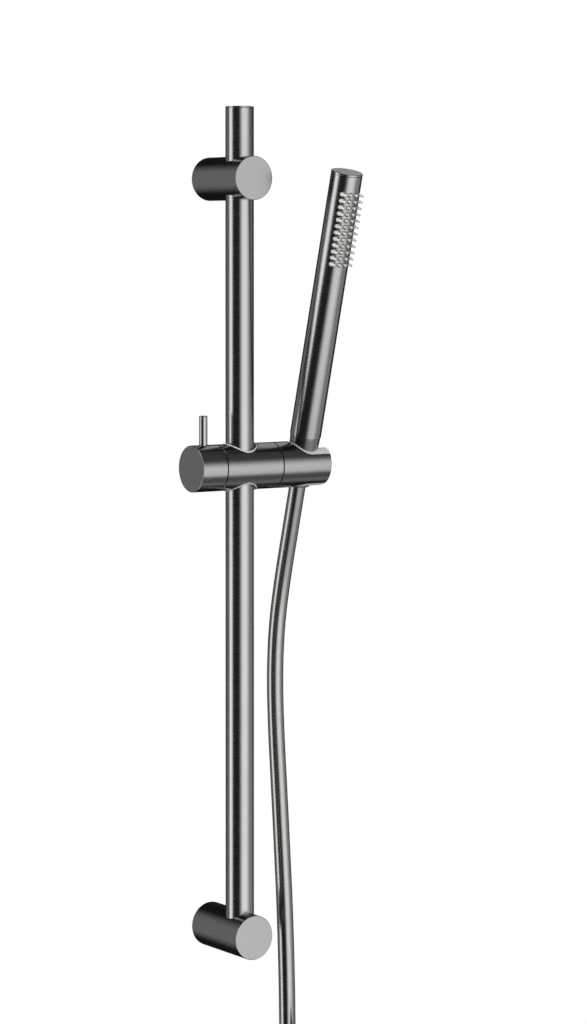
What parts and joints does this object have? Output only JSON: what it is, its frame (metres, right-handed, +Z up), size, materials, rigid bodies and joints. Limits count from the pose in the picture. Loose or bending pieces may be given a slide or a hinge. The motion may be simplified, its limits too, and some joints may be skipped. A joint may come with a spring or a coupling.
{
  "type": "shower slide rail",
  "caption": "Round shower rail on wall brackets, with a lockable slider whose tilting holder carries a slim stick handset and its hose.",
  "frame": {"origin": "on the wall plane, midway between the two wall fixing holes", "axes": "+X along the slider towards the holder, +Y into the wall, +Z up along the rail"},
  "size_m": [0.1425, 0.1735, 0.9186],
  "materials": {
    "gunmetal": "brushed, gunmetal coated",
    "steel": "machined",
    "brass": "machined",
    "pale_nylon": "moulded",
    "dark_acetal": "moulded",
    "silicone": "matt moulded",
    "seal_rubber": "matt",
    "hose_pvc": "smooth, metallic grey"
  },
  "bodies": {
    "rail": {"rail_tube": "gunmetal", "rail_top_cap": "gunmetal", "upper_bracket": "gunmetal", "lower_bracket": "gunmetal", "upper_wall_boss": "steel", "lower_wall_boss": "steel", "bracket_grub_screws": "steel", "rail_clamp_screws": "steel"},
    "carriage": {"brake_collet": "pale_nylon"},
    "slider": {"slider_body": "gunmetal", "slider_bush": "pale_nylon", "knob_seam_washer": "dark_acetal", "holder_seam_washer": "dark_acetal", "pivot_screw": "steel", "pivot_spring_washer": "steel", "hose_tube": "hose_pvc", "hose_coil": "hose_pvc", "hose_tail": "hose_pvc", "hose_tie": "dark_acetal", "hose_end_ferrule": "steel"},
    "lock": {"lock_knob": "gunmetal", "lock_lever": "gunmetal", "lock_spindle": "steel", "knob_grub_screw": "steel"},
    "plunger": {"clamp_plunger": "brass"},
    "holder": {"handset_holder": "gunmetal", "holder_liner": "pale_nylon", "handset_body": "gunmetal", "handset_top_cap": "gunmetal", "nozzle_mat": "silicone", "waterway_tube": "dark_acetal", "inlet_nipple": "brass", "inlet_washer": "seal_rubber", "hose_cone_nut": "gunmetal", "hose_upper_ferrule": "steel"},
    "end_nut": {"hose_end_nut": "gunmetal", "end_washer": "seal_rubber"}
  },
  "joints": [
    {"name": "rail_slide", "type": "slide", "parent": "rail", "child": "carriage", "axis": [0, 0, 1], "range_m": [-0.322, 0.186]},
    {"name": "rail_swivel", "type": "hinge", "parent": "carriage", "child": "slider", "pos_m": [0, -0.042, 0.0695], "axis": [0, 0, 1], "range_deg": [-38, 18]},
    {"name": "lock_turn", "type": "hinge", "parent": "slider", "child": "lock", "pos_m": [-0.033, -0.042, 0.0695], "axis": [1, 0, 0], "range_deg": [0, 90]},
    {"name": "plunger_travel", "type": "slide", "parent": "slider", "child": "plunger", "axis": [-1, 0, 0], "range_m": [0, 0.00032]},
    {"name": "holder_tilt", "type": "hinge", "parent": "slider", "child": "holder", "pos_m": [0.0336, -0.042, 0.0695], "axis": [1, 0, 0], "range_deg": [-20, 60], "deforming": ["hose_tube"]},
    {"name": "end_nut_turn", "type": "hinge", "parent": "slider", "child": "end_nut", "pos_m": [0.084, -0.025, -0.558], "axis": [0, 0, 1], "continuous": true}
  ],
  "couplings": [
    {"joint": "plunger_travel", "follows": "lock_turn", "m_per_rad": 0.00019894}
  ]
}
